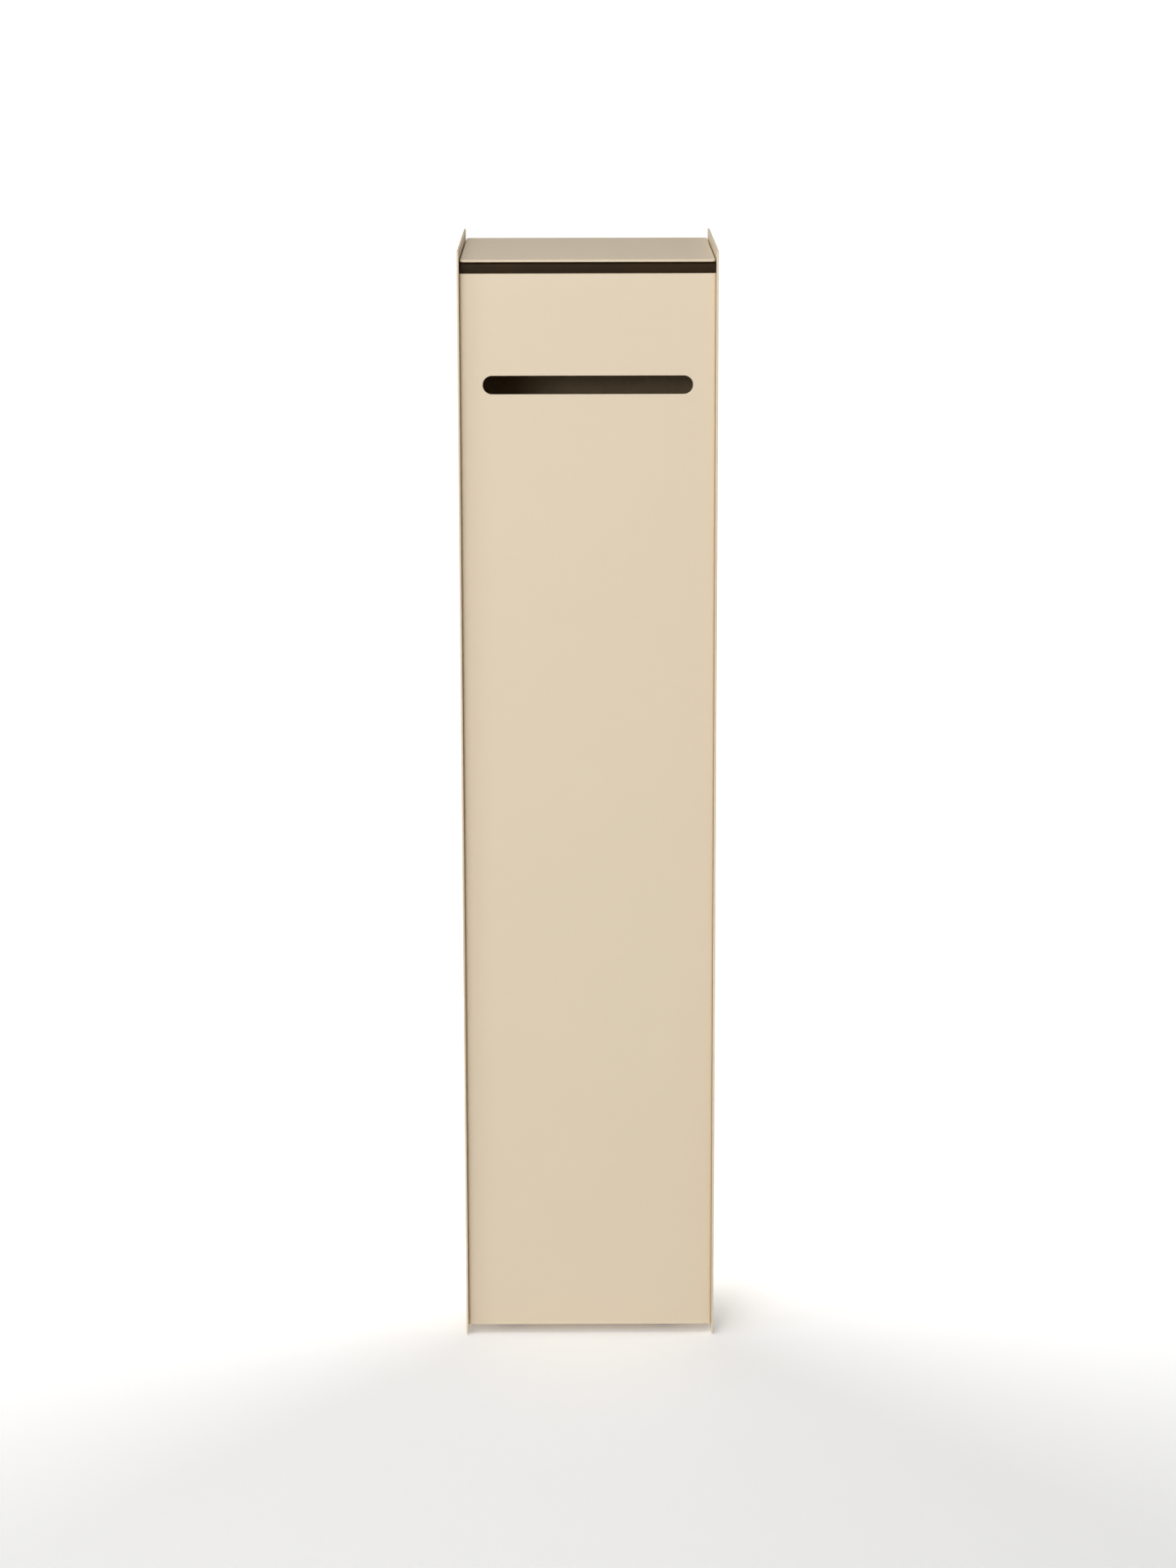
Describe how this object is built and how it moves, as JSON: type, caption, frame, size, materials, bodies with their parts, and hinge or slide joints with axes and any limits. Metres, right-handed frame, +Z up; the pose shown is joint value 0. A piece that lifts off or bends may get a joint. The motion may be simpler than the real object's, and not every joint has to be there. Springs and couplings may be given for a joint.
{
  "type": "ashtray bin",
  "caption": "Tall slim free-standing ashtray bin of folded sheet steel with a stub slot, a flat hinged lid over a finger gap and a lift-out ash container.",
  "frame": {"origin": "on the ground under the centre of the bin", "axes": "+Z up; -Y towards the front with the stub slot; +X to the right seen from the front"},
  "size_m": [0.2, 0.215, 0.875],
  "materials": {
    "beige_powder_coat": "fine matt beige powder coat",
    "beige_inner_coat": "matt beige powder coat, inside surfaces",
    "black_rubber": "black rubber",
    "black_nylon": "black moulded nylon",
    "zinc_plated_steel": "bright zinc plate",
    "stainless_hinge": "brushed stainless steel",
    "ballast_steel": "dark grey primer on hot rolled plate"
  },
  "bodies": {
    "body": {"side_panel_left": "beige_powder_coat", "side_panel_right": "beige_powder_coat", "front_panel": "beige_powder_coat", "back_panel": "beige_powder_coat", "base_pan": "beige_inner_coat", "ballast_plate": "ballast_steel", "rubber_feet": "black_rubber", "foot_bolts": "zinc_plated_steel", "foot_washers": "zinc_plated_steel", "foot_nuts": "zinc_plated_steel", "container_rail_left": "beige_inner_coat", "container_rail_right": "beige_inner_coat", "rail_studs": "zinc_plated_steel", "rail_nuts": "zinc_plated_steel", "guide_strips": "black_nylon"},
    "container": {"ash_container": "beige_inner_coat", "rim_trim": "black_rubber", "stub_chute": "beige_inner_coat", "chute_rivets": "zinc_plated_steel", "hinge_container_leaf": "stainless_hinge", "hinge_pin": "stainless_hinge", "hinge_rivets": "zinc_plated_steel", "pivot_bushes": "black_nylon", "bail_rests": "zinc_plated_steel"},
    "handle": {"bail_handle": "stainless_hinge", "bail_grip": "black_nylon", "pivot_caps": "zinc_plated_steel"},
    "lid": {"lid": "beige_powder_coat", "hinge_lid_leaf": "stainless_hinge", "lid_studs": "zinc_plated_steel", "lid_nuts": "zinc_plated_steel"}
  },
  "joints": [
    {"name": "container_lift", "type": "slide", "parent": "body", "child": "container", "axis": [0, 0, 1], "range_m": [0, 0.44]},
    {"name": "lid_hinge", "type": "hinge", "parent": "container", "child": "lid", "pos_m": [0, 0.0965, 0.8627], "axis": [-1, 0, 0], "range_deg": [0, 110]},
    {"name": "handle_swing", "type": "hinge", "parent": "container", "child": "handle", "pos_m": [0, 0.008, 0.778], "axis": [1, 0, 0], "range_deg": [0, 180]}
  ]
}
